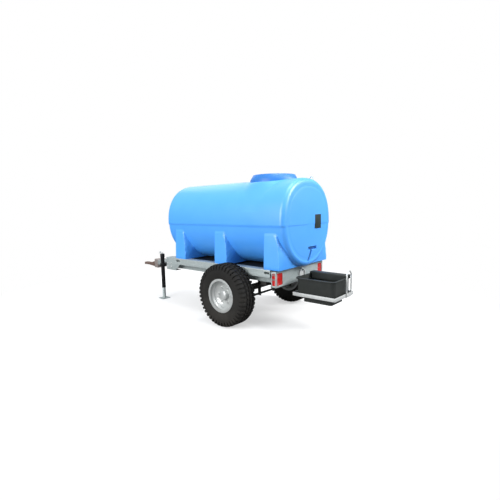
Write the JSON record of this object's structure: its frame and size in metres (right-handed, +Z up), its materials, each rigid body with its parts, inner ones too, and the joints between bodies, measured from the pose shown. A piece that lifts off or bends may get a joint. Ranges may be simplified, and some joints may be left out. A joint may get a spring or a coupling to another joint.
{
  "type": "water tank trailer with drinking trough",
  "caption": "Towed water tank trailer: moulded barrel tank on a galvanised frame, sprung braked axle, drawbar with towing eye and parking jack, drinking trough behind.",
  "frame": {"origin": "on the ground under the middle of the trailer's box", "axes": "+X forwards to the towing eye, +Y to the left side, +Z up"},
  "size_m": [4.264, 1.71, 1.928],
  "materials": {
    "tank_plastic": "satin rotomoulded polyethylene",
    "lid_plastic": "satin moulded polyethylene",
    "tyre_rubber": "moulded rubber",
    "rim_steel": "silver paint",
    "lamp_lens": "clear red lens",
    "trough_plastic": "moulded polyethylene",
    "black_paint": "gloss black paint",
    "forged_steel": "rusted forging",
    "axle_paint": "black paint",
    "zinc": "hot-dip zinc"
  },
  "bodies": {
    "chassis": {"axle_beam": "axle_paint", "brake_backplate_left": "axle_paint", "brake_backplate_right": "axle_paint", "brake_cross_shaft": "axle_paint", "brake_rod_left": "axle_paint", "brake_rod_right": "axle_paint", "bumper_bracket_left": "zinc", "bumper_bracket_right": "zinc", "cross_tube_front": "zinc", "cross_tube_middle": "zinc", "cross_tube_rear": "zinc", "deck_sheet": "black_paint", "drawbar_head": "forged_steel", "drawbar_rail_left": "zinc", "drawbar_rail_right": "zinc", "float_cover": "trough_plastic", "front_member": "zinc", "jack_clamp": "black_paint", "jack_crank": "zinc", "jack_tube": "black_paint", "leaf_spring_left": "axle_paint", "leaf_spring_right": "axle_paint", "lid_hinge": "zinc", "lifting_eye": "zinc", "manhole_collar": "tank_plastic", "rear_bumper": "zinc", "rear_lamp_left": "lamp_lens", "rear_lamp_right": "lamp_lens", "shaft_bracket_left": "axle_paint", "shaft_bracket_right": "axle_paint", "side_beam_left": "zinc", "side_beam_right": "zinc", "spring_hanger_front_left": "axle_paint", "spring_hanger_front_right": "axle_paint", "spring_hanger_rear_left": "axle_paint", "spring_hanger_rear_right": "axle_paint", "tank": "tank_plastic", "towing_eye": "forged_steel", "trough_hanger": "zinc", "trough_loop_front": "zinc", "trough_loop_rear": "zinc", "trough_ring": "zinc", "trough_tub": "trough_plastic"},
    "wheel_left": {"brake_drum_left": "axle_paint", "wheel_rim_left": "rim_steel", "tyre_left": "tyre_rubber"},
    "wheel_right": {"brake_drum_right": "axle_paint", "wheel_rim_right": "rim_steel", "tyre_right": "tyre_rubber"},
    "lid": {"manhole_lid": "lid_plastic"},
    "jack_leg": {"jack_leg": "zinc"}
  },
  "joints": [
    {"name": "wheel_left_roll", "type": "hinge", "parent": "chassis", "child": "wheel_left", "pos_m": [-0.813, 0.73, 0.4], "axis": [0, 1, 0], "continuous": true},
    {"name": "wheel_right_roll", "type": "hinge", "parent": "chassis", "child": "wheel_right", "pos_m": [-0.813, -0.73, 0.4], "axis": [0, 1, 0], "continuous": true},
    {"name": "manhole_lid_hinge", "type": "hinge", "parent": "chassis", "child": "lid", "pos_m": [-1.045, -0.247, 1.918], "axis": [1, 0, 0], "range_deg": [0, 105]},
    {"name": "jack_leg_slide", "type": "slide", "parent": "chassis", "child": "jack_leg", "axis": [0, 0, 1], "range_m": [0, 0.17]}
  ]
}
